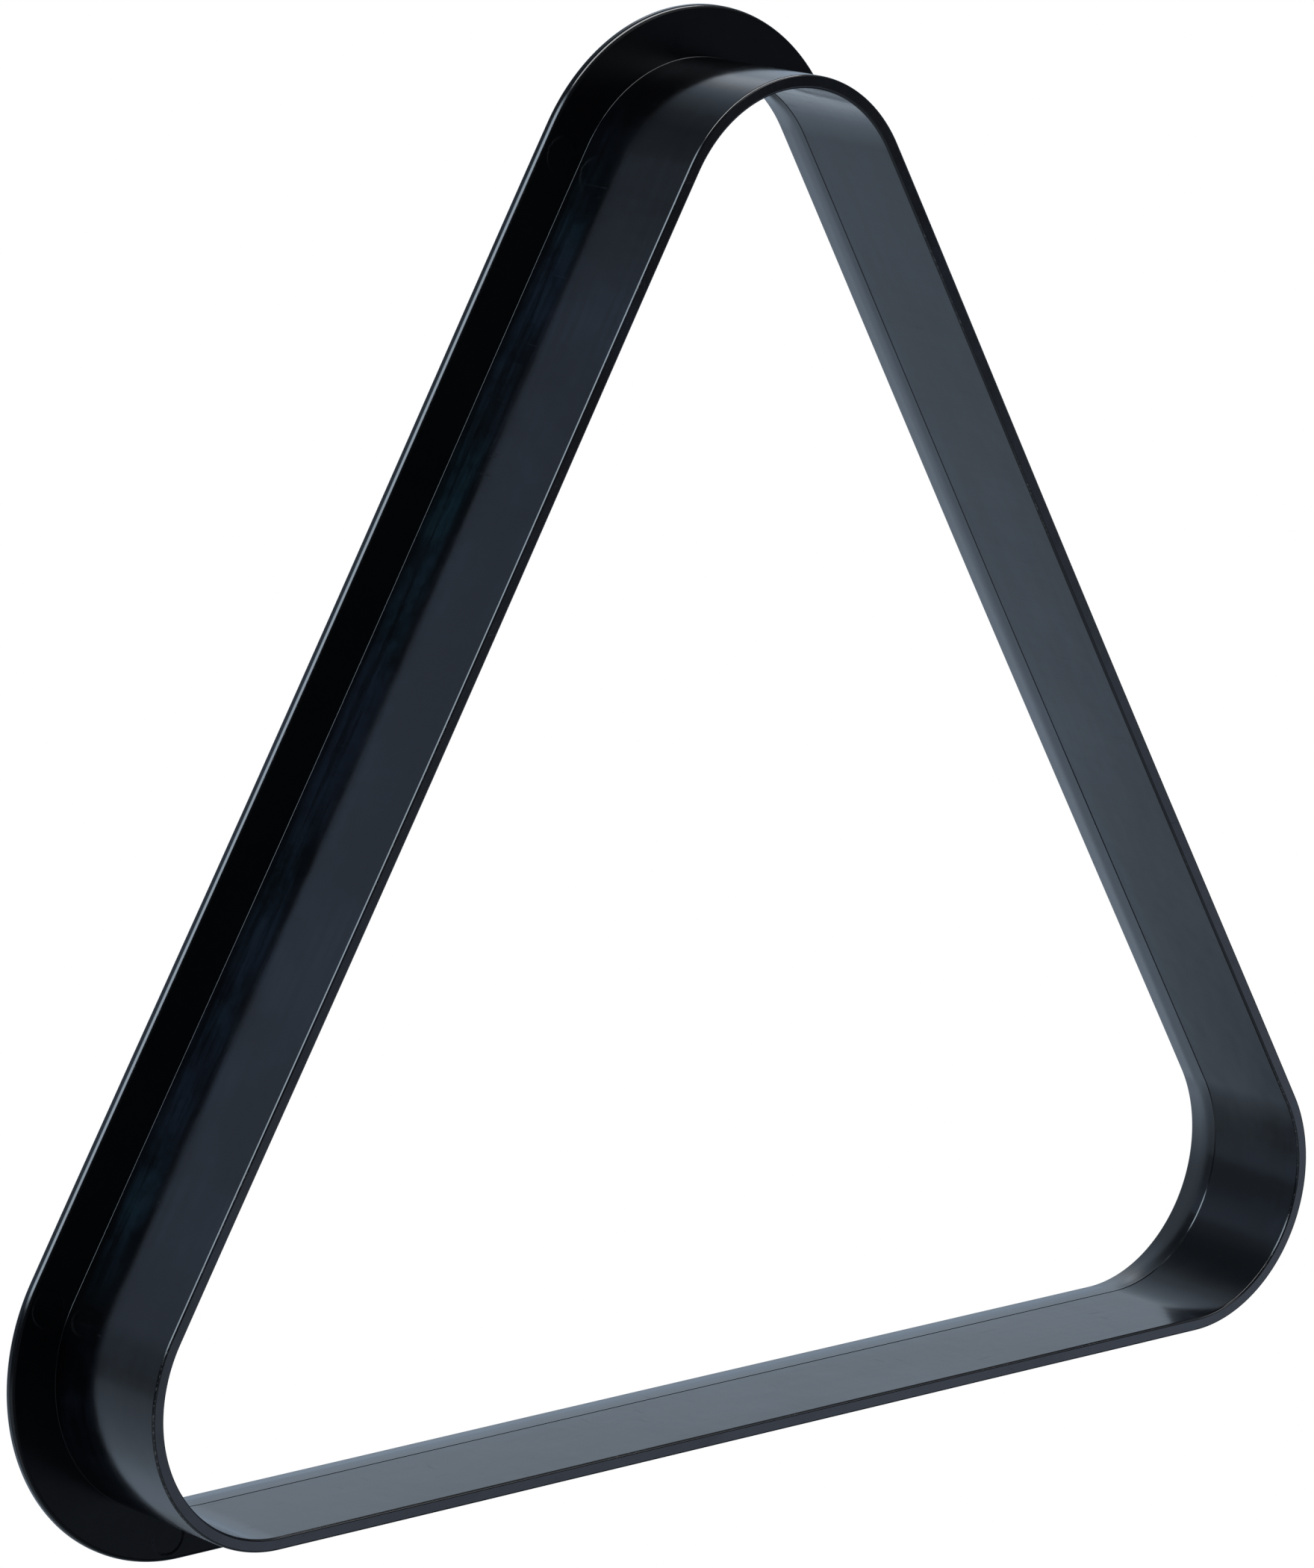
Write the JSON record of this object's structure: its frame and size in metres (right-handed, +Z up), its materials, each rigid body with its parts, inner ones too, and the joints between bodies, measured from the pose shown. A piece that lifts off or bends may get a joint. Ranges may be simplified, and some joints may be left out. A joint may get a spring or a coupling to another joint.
{
  "type": "triangle rack",
  "caption": "Black moulded plastic triangle rack for pool balls: a thin upright wall round a rounded three-sided opening, with an outward finger flange along its top edge.",
  "frame": {"origin": "middle of the rack's footprint, in the plane of its bottom rim", "axes": "+Z up from the rim to the flange, +Y towards the apex, +X to the right along the base leg"},
  "size_m": [0.3158, 0.2842, 0.0318],
  "materials": {
    "black_plastic": "glossy moulded black plastic with faint moulding and handling marks"
  },
  "bodies": {
    "root": {"triangle_frame": "black_plastic"}
  },
  "joints": []
}
